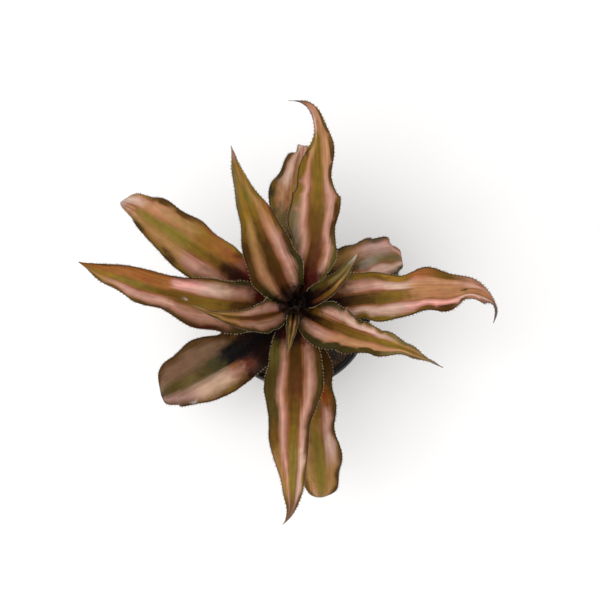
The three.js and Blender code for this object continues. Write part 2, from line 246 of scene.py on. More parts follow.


# A living bromeliad leaf, grown as tough parallel strands under a waxy cuticle. The eye gets a soft
# satin gloss drawn out lengthwise, bands with feathered borders and a dark, horny edge. The pink
# stripes carry a painted satin highlight along their middle, and the base a painted shade of the heart.
def waxyStripedSkin(leaf, name):
    look = {**skinDetail, **leaf}
    material, add, skin = newMaterial(name)
    marks = ("along", "side", "lane")
    along, side, lane = [add("Attribute", output="Fac", attribute_name=mark) for mark in marks]
    lie = add("Attribute", output="Vector", attribute_name="lie")

    # Noise from about -0.3 to 0.3, so long and wide in millimetres.
    def grain(long, wide, detail):
        spread = add("VectorMath", (lie, (1 / long, 1 / wide, 1)), operation="MULTIPLY")
        cloud = add("TexNoise", {"Vector": spread, "Scale": 1, "Detail": detail})
        return add("Math", (cloud, 0.5), operation="SUBTRACT")

    strands = grain(look["strandLong"], look["strandWide"], 3)
    slow = grain(look["swayLong"], look["swayWide"], 2)
    mottle = grain(look["mottleLong"], look["mottleWide"], 4)

    # The bands wander a little and their borders feather along the strands.
    swayed = add("Math", (slow, look["sway"], lane), operation="MULTIPLY_ADD")
    feathered = add("Math", (strands, look["feather"], swayed), operation="MULTIPLY_ADD")
    across = add("Math", (feathered, 0.5, 0.5), operation="MULTIPLY_ADD")
    late = add("Math", (mottle, look["stagger"], along), operation="MULTIPLY_ADD")

    def bandsAcross(names, borders=look["borders"]):
        names = names.split()
        stops = [(0, pigments[names[0]])]
        for n, border in enumerate(borders):
            if n in (1, 3):  # painted satin highlight: a pink stripe pales along its middle
                middle = 0.5 * (borders[n - 1] + border)
                stops.append((0.5 + 0.5 * middle, pigments.get(names[n] + "Core", pigments[names[n]])))
            stops.append((0.5 + 0.5 * (border - look["soft"]), pigments[names[n]]))
            if n in (1, 2) and {names[n], names[n + 1]} & {"rose", "blush", "paleRose", "coral"}:
                stops.append((0.5 + 0.5 * border, pigments["russet"]))  # pink turns russet at its border
            stops.append((0.5 + 0.5 * (border + look["soft"]), pigments[names[n + 1]]))
        return add("ValToRGB", (across,), stops)

    bands = look["bands"]
    colour = bandsAcross(*bands[0][1:])
    for before, after in zip(bands, bands[1:]):
        share = add("MapRange", (late, before[0], after[0]), **smooth)
        colour = add("MixRGB", (share, colour, bandsAcross(*after[1:])))

    # Each cover lays one colour over the bands, as strongly as its share says.
    tip = add("MapRange", (late, look["tipFrom"], look["tipTo"], 0, look["tipCover"]), **smooth)
    covers = [(tip, look["tip"])]
    spread = add("CombineXYZ", (late, feathered))
    for flush, t, s, reach, width, strength in look["flushes"]:
        scaled = (1 / reach, 1 / width, 1)
        moved = (-t / reach, -s / width, 0)
        oval = add("VectorMath", (spread, scaled, moved), operation="MULTIPLY_ADD")
        away = add("VectorMath", (oval,), output="Value", operation="LENGTH")
        share = add("MapRange", (away, 1, look["flushCore"], 0, strength), **smooth)
        covers.append((share, flush))
    edge = add("Math", (side,), operation="ABSOLUTE")
    ragged = add("Math", (mottle, look["edgeRagged"], edge), operation="MULTIPLY_ADD")
    rim = add("MapRange", (ragged, look["edgeFrom"], look["edgeTo"]), **smooth)
    grown = (look["edgeDarkFrom"], look["edgeDarkTo"])
    firm = add("MapRange", (along, *grown, *look["edgeDark"]), **smooth)
    covers.append((add("Math", (rim, firm), operation="MULTIPLY"), "edge"))
    scales = add("TexVoronoi", {"Vector": lie, "Scale": 1 / look["scale"]})
    covers.append((add("MapRange", (scales, 0.3, 0.12, 0, look["scurf"]), **smooth), "silver"))
    # The dark base: mostly painted shade where the leaf runs down into the deep heart, over dark maroon
    # tissue.
    reach = look["dark"] / look["length"]
    base = add("MapRange", (late, reach, look["darkStart"], 0, look["darkCover"]), **smooth)
    covers.append((base, "heart"))
    for share, pigment in covers:
        colour = add("MixRGB", (share, colour, linear(pigments[pigment])))

    # Strands and mottling lighten and darken it.
    streaky = (1 - look["streak"], 1 + look["streak"])
    streaks = add("MapRange", (strands, -0.2, 0.2, *streaky), **smooth)
    blotches = add("MapRange", (mottle, -0.25, 0.25, *look["blotch"]), **smooth)
    setSockets(skin, {
        "Base Color": add("HueSaturation", {
            "Hue": add("MapRange", (slow, -0.3, 0.3, *look["hueShift"]), **smooth),
            "Value": add("Math", (streaks, blotches), operation="MULTIPLY"), "Color": colour}),
        "Roughness": add("MapRange", (mottle, -0.25, 0.25, *look["roughness"]), **smooth),
        "Normal": add("Bump", {
            "Height": add("Math", (strands, mottle), operation="ADD"),
            "Strength": look["bump"], "Distance": look["relief"] * mm}),
        "IOR": 1.45,
        "Specular IOR Level": 0.08,  # the cuticle's wax scatters most of the gloss
        "Subsurface Weight": 0.06, "Subsurface Radius": (1.0, 0.4, 0.25), "Subsurface Scale": 0.8 * mm,
    })
    return material


backDetail = {"strandLong": 30, "strandWide": 0.7, "felt": 0.625, "edgeFrom": 0.9, "edgeTo": 0.98}


# The back of the same leaf, under a felt of grey suction scales. It looks dry and pale, with the
# strands showing as fine darker lines.
def scurfyBack():
    material, add, back = newMaterial("scurfy_leaf_back")
    lie = add("Attribute", output="Vector", attribute_name="lie")
    side = add("Attribute", output="Fac", attribute_name="side")
    spread = (1 / backDetail["strandLong"], 1 / backDetail["strandWide"], 1)
    strands = add("VectorMath", (lie, spread), operation="MULTIPLY")
    lines = add("TexNoise", {"Vector": strands, "Scale": 1, "Detail": 3})
    felt = add("TexNoise", {"Vector": lie, "Scale": 1 / backDetail["felt"], "Detail": 4})
    bare = add("ValToRGB", (lines,), [(0.3, "#6b4a3a"), (0.5, "#8f6a55"), (0.72, "#a08468")])
    cover = add("MapRange", (felt, 0.3, 0.65, 0.25, 0.8))
    felted = add("MixRGB", (cover, bare, linear("#b3a99d")))
    edge = add("Math", (side,), operation="ABSOLUTE")
    rim = add("MapRange", (edge, backDetail["edgeFrom"], backDetail["edgeTo"], 0, 0.8))
    relief = add("Math", (felt, 0.6, lines), operation="MULTIPLY_ADD")
    setSockets(back, {
        "Base Color": add("MixRGB", (rim, felted, linear(pigments["edge"]))),
        "Normal": add("Bump", {"Height": relief, "Strength": 0.6, "Distance": 0.3 * mm}),
        "Roughness": 0.72, "IOR": 1.45,
    })
    return material


# A marginal spine: horny tissue, brown where it leaves the blade and bleached at its point. It is
# paler near the stem, where a blade is youngest.
def hornySpine():
    material, add, spine = newMaterial("horny_leaf_spine")
    marks = ("along", "reach")
    along, reach = [add("Attribute", output="Fac", attribute_name=mark) for mark in marks]
    lie = add("Attribute", output="Vector", attribute_name="lie")
    cloud = add("TexNoise", {"Vector": lie, "Scale": 0.5, "Detail": 2})  # a change every 2 mm
    grown = add("Math", (cloud, 0.5, reach), operation="MULTIPLY_ADD")
    young = add("ValToRGB", (grown,), [(0.2, "#5f5430"), (0.6, "#94895f"), (1, "#c4ba96")])
    old = add("ValToRGB", (grown,), [(0.2, "#3c2716"), (0.7, "#6a4e33"), (1, "#9a8060")])
    aged = add("MapRange", (along, 0.2, 0.55))
    colour = add("MixRGB", (aged, young, old))
    setSockets(spine, {"Base Color": colour, "Roughness": 0.45, "IOR": 1.5})
    return material


# The short stem that the leaves grow from. It tapers from its full radius to the bud's.
stem = {
    "radius": 6, "foot": 34.7, "footRound": 1.5, "footSteps": 6,
    "taperFrom": 54, "taperTo": 66, "budRadius": 2.3, "shoulder": 74.2, "top": 76, "topSteps": 8,
    "scarPitch": 3.6, "scarDepth": 0.35, "segments": 96, "rowHeight": 0.3,
    "bark": 0.22, "barkFrom": 2,  # how rough its sides are, from so far above the foot
    "fibreWide": 0.7143, "fibreLong": 2.857, "flake": 2.2222,  # the grain of the bark
    "darkFrom": 71.5, "darkTo": 74,  # where the bark darkens round the bud: painted shade deep in the heart
}


def stemRadiusAt(z):
    climb = (z - stem["taperFrom"]) / (stem["taperTo"] - stem["taperFrom"])
    return mix(stem["radius"], stem["budRadius"], min(max(climb, 0), 1))


# What most leaves share. Angles are in degrees. An edge's waves are given by how many, the phase of
# the first, and how far they swing sideways; a bow is a slower swing of the outline.
commonLeaf = {
    "sweep": 0, "hook": 0, "hookAt": 0.75, "lag": 1.6, "neck": 0.6, "full": 0.22, "widest": 0.38,
    "taper": 1.3, "fold": 12, "wave": 1.5, "left": (4, 0, 0.7), "right": (4, 0.3, 0.7),
    "leftBow": (1, 0, 0), "rightBow": (1, 0, 0), "point": 0.012, "crinkle": 0.45, "spine": 0.62,
    "swell": 1.4,  # how far the margins widen where the edge bulges
    "tail": 1, "tailAt": 0.85,  # the share of its width that is left in a withered tail, and its start
}

# From the heart out and down. Each leaf's "bands" name the colours from its right edge to its left
# at a few places along it, with borders of their own where they differ, and "tip" is the tip's own.
leaves = [
    {"heading": 7.5, "level": 75.5, "length": 37, "width": 9, "rise": 58, "fall": 42, "root": 5,
     "sweep": 50, "neck": 0.7, "widest": 0.3, "taper": 1.5, "fold": 40, "wave": 0.3,
     "left": (4, 0, 0.15), "right": (4, 0.3, 0.15), "spine": 0.4,
     "borders": (-0.75, -0.3, 0.1, 0.6), "dark": 9,
     "bands": [(0.1, "heart pitch heart heart heart"), (0.25, "pitch chestnut pitch pitch moss"),
               (0.42, "umber brown pitch umber darkOlive"),
               (0.6, "darkOlive tan darkOlive khaki darkOlive"),
               (0.8, "leafGreen khaki leafGreen khaki leafGreen")],
     "tip": "silver", "tipFrom": 0.82},
    {"heading": 267, "level": 75.6, "length": 30.6, "width": 5, "rise": 60, "fall": 38, "root": 4.9,
     "sweep": -6, "neck": 0.8, "widest": 0.3, "taper": 1.5, "fold": 40, "wave": 0.3,
     "left": (4, 0, 0.15), "right": (4, 0.3, 0.15), "spine": 0.4,
     "dark": 5,
     "bands": [(0.15, "moss brown heart brown moss"), (0.35, "moss tan umber blush moss"),
               (0.55, "leafGreen khaki umber tan leafGreen"), (0.85, "leafGreen tan leafGreen tan khaki")],
     "tip": "tan"},
    {"heading": 211.7, "level": 73.35, "length": 46.5, "width": 15.3, "rise": 52, "fall": 28,
     "sweep": -52.4, "neck": 0.62, "widest": 0.34, "taper": 0.72, "fold": 35, "wave": 0.8,
     "left": (6.1, 0.33, 0.4), "right": (3, 0.47, 0.07), "leftBow": (0.9, 0.9, 0.75),
     "rightBow": (0.4, 0.6, 2.29),
     "borders": (-0.8, -0.14, 0.24, 0.8), "dark": 1.5,
     "bands": [(0.0, "leafGreen rose chestnut blush moss"), (0.2, "leafGreen rose chestnut blush moss"),
               (0.42, "khaki rose chestnut blush darkOlive"), (0.6, "tan tan brown tan brown"),
               (0.8, "khaki tan brown tan bronze")],
     "tip": "brown"},
    {"heading": 120.6, "level": 71.2, "length": 64.9, "width": 23.8, "rise": 48, "fall": 24,
     "root": 6.8, "sweep": -14.6, "neck": 0.72, "widest": 0.22, "taper": 0.92, "fold": 15,
     "wave": 0.9, "left": (4.2, 0.48, 0.39), "right": (4.4, 0.65, 0.28),
     "leftBow": (2.2, 0.44, 0.41), "rightBow": (1.5, 0.45, 0.92),
     "borders": (-0.72, -0.27, 0.26, 0.68), "dark": 5, "swell": 1,
     "bands": [(0.04, "moss blush chestnut peach moss"), (0.2, "moss rose umber peach umber"),
               (0.38, "umber rose umber tan umber", (-0.78, -0.28, 0.22, 0.68)),
               (0.5, "brown peach brown tan brown", (-0.82, -0.28, 0.2, 0.7)),
               (0.6, "brown tan bronze ochre bronze", (-0.82, -0.3, 0.18, 0.7)),
               (0.7, "bronze tan olive ochre khaki"), (0.86, "ochre bronze tan bronze khaki")],
     "flushes": [("leafGreen", 0.72, 0.1, 0.08, 0.4, 0.5), ("sienna", 0.62, -0.9, 0.05, 0.2, 0.6),
                 ("khaki", 0.82, 0.5, 0.06, 0.4, 0.5)],
     "tip": "mauve", "tipFrom": 0.87, "tipTo": 0.97},
    {"heading": 320.4, "level": 70.4, "length": 67, "width": 20, "rise": 45, "fall": 18,
     "root": 6.8, "sweep": 34.5, "hook": -25.3, "hookAt": 0.58, "neck": 0.68, "widest": 0.32,
     "taper": 0.58, "fold": 15, "wave": 1, "left": (6.3, 0.11, 0.27), "right": (4.8, 0.19, 0.85),
     "leftBow": (1.2, 0.49, 1.14), "rightBow": (1.2, 0.59, 0.71),
     "borders": (-0.68, -0.16, 0.3, 0.7), "dark": 6, "swell": 2.8,
     "bands": [(0.06, "darkOlive blush pitch brown moss"),
               (0.18, "moss rose umber rose moss", (-0.68, -0.16, 0.34, 0.8)),
               (0.34, "moss peach brown paleRose darkOlive", (-0.68, -0.13, 0.4, 0.94)),
               (0.56, "darkOlive peach bronze paleRose bronze", (-0.68, -0.13, 0.38, 0.88)),
               (0.74, "khaki peach bronze tan khaki"), (0.9, "khaki tan khaki tan khaki")],
     "flushes": [("rose", 0.32, 0.85, 0.06, 0.3, 0.7)],
     "tip": "ash", "tipFrom": 0.88, "tipTo": 0.98},
    {"heading": 67.2, "level": 68.8, "length": 82.7, "width": 18.8, "rise": 36, "fall": 0,
     "sweep": 39.9, "hook": 69.3, "hookAt": 0.8, "neck": 0.59, "widest": 0.49, "taper": 0.5,
     "left": (3.6, 0.01, 1.19), "right": (4, 0.46, 0.75), "leftBow": (1, 0.71, 2.96),
     "rightBow": (1.3, 0.19, 2.14),
     "borders": (-0.82, -0.28, 0.34, 0.76), "dark": 7, "swell": 1.6, "tail": 0.55, "tailAt": 0.9,
     "bands": [(0.08, "leafGreen maroon maroon tan darkOlive", (-0.82, -0.5, 0.2, 0.72)),
               (0.2, "leafGreen rose chestnut rose khaki", (-0.82, -0.44, 0.24, 0.74)),
               (0.38, "umber rose brown rose khaki"),
               (0.5, "brown rose bronze rose bronze", (-0.88, -0.2, 0.4, 0.88)),
               (0.66, "umber peach bronze peach bronze", (-0.88, -0.1, 0.44, 0.92)),
               (0.75, "brown peach bronze tan bronze", (-0.88, -0.1, 0.3, 0.94)),
               (0.82, "brown peach rose paleRose rose", (-0.92, -0.1, 0.3, 0.94))],
     "flushes": [("sienna", 0.78, -0.6, 0.05, 0.4, 0.4), ("umber", 0.43, -0.97, 0.04, 0.22, 0.7),
                 ("silver", 0.3, 0.85, 0.14, 0.25, 0.2), ("umber", 0.69, 0.95, 0.04, 0.2, 0.8),
                 ("paleRose", 0.87, 0.2, 0.06, 0.9, 0.75)],
     "tip": "withered", "tipFrom": 0.89, "tipTo": 0.96},
    {"heading": 3.1, "level": 67.25, "length": 84.7, "width": 19.2, "rise": 32, "fall": -30,
     "sweep": -2.1, "hook": -107.9, "hookAt": 0.77, "widest": 0.42, "taper": 1.21,
     "left": (4.7, 0.59, 0.55), "right": (6, 0.24, 0.88), "leftBow": (2.2, 0.84, 1.8),
     "rightBow": (4.2, 0.57, 0.94),
     "borders": (-0.86, -0.36, 0.2, 0.72), "dark": 9, "swell": 1.2, "tail": 0.5,
     "bands": [(0.14, "moss blush pitch chestnut moss"), (0.28, "bronze paleRose umber rose bronze"),
               (0.44, "bronze paleRose bronze paleRose ochre"), (0.54, "brown coral peach peach sienna"),
               (0.66, "umber coral peach peach brown"), (0.78, "blush paleRose peach rose blush")],
     "flushes": [("moss", 0.735, 0.1, 0.022, 0.14, 0.9), ("paleRoseCore", 0.42, 0.4, 0.05, 0.3, 0.3),
                 ("umber", 0.67, -1, 0.05, 0.16, 0.7), ("umber", 0.36, 0.9, 0.05, 0.25, 0.5)],
     "tip": "withered", "tipFrom": 0.84, "tipTo": 0.93},
    {"heading": 185.6, "level": 66.6, "length": 81.7, "width": 21.7, "rise": 30, "fall": 5,
     "sweep": -29.9, "widest": 0.36, "taper": 1.32, "left": (4.3, 0.3, 0.97),
     "right": (2.6, 0.33, 0.27), "leftBow": (1.9, 0.63, 1), "rightBow": (0.6, 0.58, 2.37),
     "borders": (-0.8, -0.22, 0.32, 0.88), "dark": 8, "swell": 0.7,
     "bands": [(0.1, "pitch maroon pitch maroon moss"), (0.2, "moss blush umber maroon moss"),
               (0.36, "brown paleRose bronze blush maroon", (-0.84, -0.2, 0.32, 0.88)),
               (0.52, "umber coral brown blush umber", (-0.9, -0.24, 0.32, 0.8)),
               (0.6, "rust sienna brown rose umber", (-0.9, -0.14, 0.24, 0.9)),
               (0.76, "rust sienna olive rose brown", (-0.9, -0.26, 0.24, 0.9)),
               (0.9, "umber sienna ochre tan brown")],
     "flushes": [("silver", 0.49, 0.06, 0.02, 0.1, 0.7)],
     "tip": "brown", "tipFrom": 0.88},
    # Leaf 9 runs out low under the inner leaves: the near-black at its base is painted shade.
    {"heading": 270.8, "level": 65.1, "length": 82, "width": 20.3, "rise": 25, "fall": -12,
     "sweep": -3.2, "hook": -35.9, "hookAt": 0.88, "neck": 0.69, "taper": 1.03,
     "left": (4, 0.68, 0.32), "right": (3.3, 0.15, 0.57), "leftBow": (1.8, 0.76, 1.33),
     "rightBow": (0.7, 0.83, 2.22),
     "borders": (-0.6, -0.27, 0.33, 0.76), "dark": 9,
     "bands": [(0.08, "pitch maroon pitch maroon pitch"), (0.18, "leafGreen blush umber blush umber"),
               (0.34, "darkOlive rose chestnut rose darkOlive"), (0.48, "darkOlive rose brown rose umber"),
               (0.6, "brown rose bronze rose umber", (-0.6, -0.27, 0.33, 0.86)),
               (0.7, "tan rose olive paleRose brown", (-0.6, -0.27, 0.33, 0.92)),
               (0.82, "tan peach olive paleRose bronze", (-0.6, -0.27, 0.3, 0.86)),
               (0.91, "brown mauve brown mauve umber")],
     "flushes": [("umber", 0.64, 0.95, 0.08, 0.25, 0.7), ("khaki", 0.66, 0.03, 0.1, 0.2, 0.3)],
     "tip": "taupe", "tipFrom": 0.88, "tipTo": 0.97},
    # The near-black at leaf 10's base, and its pitch oval, are painted shade deep in the rosette.
    {"heading": 150.5, "level": 62.8, "length": 83, "width": 21.9, "rise": 20, "fall": -62,
     "lag": 3, "sweep": -5, "taper": 2.2, "left": (3.9, 0.34, 0.31), "right": (5.3, 0.45, 0.24),
     "leftBow": (1.2, 0.72, 1.46), "rightBow": (0.4, 0.73, 4.49),
     "borders": (-0.84, -0.12, 0.3, 0.84), "dark": 17, "streak": 0.08, "swell": 2,
     "bands": [(0.22, "umber wine maroon chestnut pitch"), (0.34, "ochre sienna brown blush brown"),
               (0.45, "sienna ochre bronze rose bronze"), (0.57, "brown tan olive tan bronze"),
               (0.76, "brown peach olive tan brown"), (0.88, "tan paleRose peach blush tan")],
     "flushes": [("sienna", 0.4, -0.5, 0.12, 0.5, 0.6), ("pitch", 0.27, 0.08, 0.1, 0.4, 0.75),
                 ("blush", 0.25, -0.45, 0.06, 0.3, 0.5),
                 ("umber", 0.56, 0.97, 0.07, 0.35, 1), ("moss", 0.76, 0.97, 0.06, 0.3, 0.9),
                 ("umber", 0.6, -0.97, 0.07, 0.3, 0.9), ("umber", 0.73, -0.97, 0.06, 0.3, 0.9)],
     "tip": "silver", "tipFrom": 0.86},
    {"heading": 92.5, "level": 61.3, "length": 75, "width": 19.3, "rise": 15, "fall": -80,
     "lag": 2.5, "sweep": -13.2, "widest": 0.35, "taper": 1.8, "left": (5, 0.5, 0.39),
     "right": (4, 0.51, 0.6), "leftBow": (1.7, 0.34, 1.64),
     "borders": (-0.66, -0.25, 0.2, 0.78), "dark": 12,
     "bands": [(0.2, "moss maroon pitch maroon moss"), (0.4, "khaki tan brown khaki darkOlive"),
               (0.52, "khaki tan tan peach bronze"), (0.64, "tan rose tan paleRose umber"),
               (0.86, "tan rose rose rose brown")],
     "flushes": [("moss", 0.52, 0.97, 0.05, 0.25, 1), ("umber", 0.69, 0.97, 0.05, 0.2, 1),
                 ("paleRoseCore", 0.9, 0.4, 0.1, 0.7, 0.8)],
     "tip": "paleRose", "scurf": 0.3},
    {"heading": 38.1, "level": 59.7, "length": 49.6, "width": 21.3, "rise": 12, "fall": -85,
     "lag": 3, "sweep": -31.3, "widest": 0.41, "taper": 2.9, "left": (6.4, 0.31, 0.06),
     "right": (4, 0.26, 0.58), "leftBow": (1.9, 0.78, 0.77),
     "borders": (-0.66, -0.16, 0.34, 0.93), "dark": 12, "streak": 0.08, "soft": 0.16,
     "bands": [(0.25, "moss umber pitch umber moss"), (0.45, "khaki blush umber tan moss"),
               (0.62, "moss paleRose khaki rose bronze"), (0.8, "moss paleRose khaki rose darkOlive")],
     "flushes": [("silver", 0.58, 0.05, 0.12, 0.35, 0.35), ("khaki", 0.84, 0.3, 0.1, 0.35, 0.5),
                 ("silver", 0.68, 0.5, 0.2, 0.5, 0.35),
                 ("moss", 0.68, 0.95, 0.14, 0.3, 0.7), ("paleRoseCore", 0.68, -0.4, 0.12, 0.35, 0.9)],
     "tip": "mauve", "scurf": 0.3},
    # Leaf 13 lies under leaves 3 and 8: its near-black bands out to nearly half its length are painted
    # shadow.
    {"heading": 220.8, "level": 58.4, "length": 65.5, "width": 24.2, "rise": 10, "fall": -75,
     "lag": 2.5, "sweep": -22.5, "widest": 0.43, "taper": 3.17, "left": (5.8, 0.8, 0.13),
     "right": (2.8, 0.78, 0.83), "leftBow": (1.6, 0.48, 1.04), "rightBow": (1.2, 0.36, 1.74),
     "borders": (-0.84, -0.2, 0.32, 0.84), "dark": 24, "streak": 0.08, "soft": 0.14,
     "bands": [(0.25, "pitch pitch heart pitch pitch"),
               (0.33, "pitch umber heart wine pitch", (-0.84, -0.5, 0.34, 0.82)),
               (0.4, "umber taupe heart blush umber", (-0.84, -0.45, 0.3, 0.8)),
               (0.48, "umber taupe moss buff brown", (-0.84, -0.3, 0.3, 0.78)),
               (0.62, "umber taupe darkOlive buff brown"), (0.76, "umber taupe darkOlive mauve umber")],
     "flushes": [("silver", 0.7, 0.97, 0.03, 0.2, 0.7), ("umber", 0.55, -0.95, 0.12, 0.2, 0.8),
                 ("khaki", 0.68, 0.05, 0.12, 0.3, 0.4), ("pitch", 0.97, 0, 0.04, 0.9, 0.7)],
     "tip": "taupe", "scurf": 0.1},
    {"heading": 283.1, "level": 56.8, "length": 77.8, "width": 18, "rise": 10, "fall": -80,
     "lag": 3, "sweep": -12.1, "widest": 0.42, "taper": 4.12, "left": (4.4, 0.26, 0.68),
     "right": (4.2, 0.2, 0.43), "leftBow": (1.6, 0.89, 1.05), "rightBow": (1.2, 0.25, 1.01),
     "borders": (-0.7, -0.2, 0.3, 0.88), "dark": 14, "streak": 0.08,
     "bands": [(0.28, "darkOlive umber moss umber umber"), (0.4, "darkOlive tan khaki sienna brown"),
               (0.5, "brown tan ochre rose umber"), (0.64, "brown tan olive paleRose brown"),
               (0.78, "brown tan olive tan umber"), (0.92, "brown peach olive tan umber")],
     "flushes": [("ember", 0.38, 0.62, 0.07, 0.25, 0.9), ("rust", 0.6, -0.4, 0.04, 0.2, 0.7),
                 ("tanCore", 0.54, 0.15, 0.06, 0.3, 0.6), ("umber", 0.98, 0, 0.03, 1, 0.6)],
     "tip": "brown"},
]

blade = {
    "gap": 0.3,  # a leaf starts this far clear of the stem
    "heelSlope": 22, "heelEnd": 6.3, "heelRows": 8,  # its heel, up to the radius where the blade starts
    "ribBase": 1.2, "ribBelly": 1.55, "ribTip": 1.0, "bellyAt": 0.2,  # thickness along the midrib
    "edge": 0.5, "crown": 1.5,  # thickness at the edge, and the power by which it falls off to that
    "rounding": 0.07,  # the outer share of each side that rounds over
    "slimUnder": 1.6, "slimPower": 0.7,  # the tip thins out once half its width is less than this
    "channel": 0.3, "keel": 0.3, "ribWide": 0.1,  # groove above the midrib and ridge below it
    "rows": 150, "columns": 40, "tipCrowd": 1.25, "edgeCrowd": 0.4,  # and how they crowd together
    "tailSoft": 0.08,  # the share of the length over which a tail narrows
    "waveFrom": 0.12, "waveSoft": 0.2,  # waves fade away at the stem and at the tip
    "foldSoft": 0.3, "mostTurn": 75,  # where the fold is complete, and how far up the edges may turn
    "keelSoft": 0.2, "grooveSoft": 0.3,  # the keel grows in from the stem, and both fade to the tip
    "pucker": 4.5, "puckerSoft": 0.1, "edgePower": 2.5,  # the thin edge puckers most
    "fullHalf": 6,  # a blade with half this width or more has its full pucker and groove
    "wander": 0.5, "wanderPower": 4,  # how far the edge strays from its line, as a share of the crinkle
    "marginFrom": 0.45, "marginSoft": 0.4,  # where a margin starts to widen with the edge's waves
}


# Which way a leaf grows: its slope, along it, across it to the left, and up. Its heel has t under 0.
def growth(leaf, t):
    rise = blade["heelSlope"] if t < 0 else mix(leaf["rise"], leaf["fall"], t ** leaf["lag"])
    slope = math.radians(rise)
    bend = leaf["hook"] * ease((t - leaf["hookAt"]) / (1 - leaf["hookAt"]))
    flat = around(1, math.radians(leaf["heading"] + leaf["sweep"] * max(t, 0) + bend))
    along = flat * math.cos(slope) + Vector((0, 0, math.sin(slope)))
    across = Vector((-flat.y, flat.x, 0))
    return slope, along, across, along.cross(across)


def halfWidth(leaf, t):
    share = leaf["neck"] + (1 - leaf["neck"]) * ease(t / leaf["full"])
    if t > leaf["widest"]:
        share *= 1 - ((t - leaf["widest"]) / (1 - leaf["widest"])) ** leaf["taper"]
    share *= mix(1, leaf["tail"], ease((t - leaf["tailAt"]) / blade["tailSoft"]))
    return 0.5 * leaf["width"] * max(share, leaf["point"])


def thickness(leaf, t, side):
    rib = mix(blade["ribBase"], blade["ribBelly"], ease(t / blade["bellyAt"]))
    rib += (blade["ribTip"] - blade["ribBelly"]) * ease((t - blade["bellyAt"]) / (1 - blade["bellyAt"]))
    depth = blade["edge"] + (rib - blade["edge"]) * (1 - abs(side) ** blade["crown"])
    over = max(abs(side) - 1 + blade["rounding"], 0) / blade["rounding"]
    slim = min(halfWidth(leaf, t) / blade["slimUnder"], 1) ** blade["slimPower"]
    return depth * slim * math.sqrt(max(1 - over * over, 0))


# How far a wave stands out, from -1 to 1.
def swingAt(t, waves, phase):
    fade = ease((t - blade["waveFrom"]) / blade["waveSoft"]) * ease((1 - t) / blade["waveSoft"])
    return fade * math.sin(2 * math.pi * (waves * t + phase))


# One row across the blade. It gives each column's upper and lower point and the way out from it.
def bladeRow(leaf, number, t, midrib, sides, narrowing=1):
    slope, along, across, up = growth(leaf, t)
    half = narrowing * halfWidth(leaf, t)
    full = min(half / blade["fullHalf"], 1)
    started = ease(t / blade["puckerSoft"])
    wrap = half * max(math.sin(slope), 0) / math.hypot(midrib.x, midrib.y)
    fold = math.radians(leaf["fold"]) * ease(t / blade["foldSoft"])
    turn = min(wrap + fold, math.radians(blade["mostTurn"]))
    row = []
    for side in sides:
        reach = abs(side)
        waves, phase, swell = leaf["left"] if side > 0 else leaf["right"]
        bowWaves, bowPhase, bow = leaf["leftBow"] if side > 0 else leaf["rightBow"]
        swing = swingAt(t, waves, phase)
        bowed = bow * swingAt(t, bowWaves, bowPhase)
        angle = turn * side
        # The last number, and the 31 below, only take the noise from a new place.
        spot = Vector((t * leaf["length"] / blade["pucker"], 1.5 * side, 7.3 * number))
        pucker = leaf["crinkle"] * noise.noise(spot) * reach ** blade["edgePower"] * full * started
        wander = blade["wander"] * leaf["crinkle"] * noise.noise(spot + Vector((31, 0, 0)))
        wander *= reach ** blade["wanderPower"] * started
        out = half * math.sin(angle) / turn + side * (swell * swing + bowed) + math.copysign(wander, side)
        lift = half * (1 - math.cos(angle)) / turn
        lift += leaf["wave"] * reach ** blade["edgePower"] * swing + pucker
        point = midrib + across * out + up * lift
        normal = up * math.cos(angle) - across * math.sin(angle)
        outward = (across * math.cos(angle) + up * math.sin(angle)) * math.copysign(1, side)
        depth = 0.5 * thickness(leaf, t, side)
        groove = math.exp(-(side / blade["ribWide"]) ** 2) * full
        groove *= ease((1 - t) / blade["grooveSoft"])
        # The bands run straight, so an edge that swings out shows more of its margin.
        rippled = swell * swing + (bowed if bowWaves > 2 else 0)
        margin = ease((reach - blade["marginFrom"]) / blade["marginSoft"])
        swelled = leaf["swell"] * margin * rippled / max(half, 2)
        row.append({
            "side": side, "lane": side + math.copysign(swelled, side),
            "top": point + normal * (depth - blade["channel"] * groove),
            "bottom": point - normal * (depth + blade["keel"] * groove * ease(t / blade["keelSoft"])),
            "outward": outward, "normal": normal, "along": along,
            "lie": (t * leaf["length"], out, 11.0 * number),  # where its patterns are read
        })
    return row


# The radius where a heel that ends at the root meets the stem.
def heelRadius(leaf, root):
    slope = math.radians(blade["heelSlope"])
    radius = root
    for _ in range(12):
        z = leaf["level"] - (root - radius) * math.tan(slope)
        radius = stemRadiusAt(z) + blade["gap"] + 0.5 * blade["ribBase"] * math.sin(slope)
    return radius


def bladeRows(leaf, number, rowCount, columns, heelRows=0):
    even = [-1 + 2 * j / columns for j in range(columns + 1)]
    sides = [mix(s, math.sin(0.5 * math.pi * s), blade["edgeCrowd"]) for s in even]
    lean = math.sin(math.radians(leaf["rise"]))
    root = leaf.get("root", blade["heelEnd"] + 0.5 * blade["ribBase"] * lean)
    outward = around(1, math.radians(leaf["heading"]))
    rows = []
    inner = heelRadius(leaf, root) if heelRows else root
    for i in range(heelRows):
        radius = mix(inner, root, i / heelRows)
        drop = (root - radius) * math.tan(math.radians(blade["heelSlope"]))
        t = (radius - root) / leaf["length"]
        spot = outward * radius + Vector((0, 0, leaf["level"] - drop))
        rows.append((t, bladeRow(leaf, number, t, spot, sides, radius / root)))
    midrib = outward * root + Vector((0, 0, leaf["level"]))
    before = 0
    for i in range(rowCount + 1):
        t = 1 - (1 - i / rowCount) ** blade["tipCrowd"]
        if i > 0:
            midrib = midrib + growth(leaf, 0.5 * (before + t))[1] * (leaf["length"] * (t - before))
        before = t
        rows.append((t, bladeRow(leaf, number, t, midrib, sides)))
    return rows


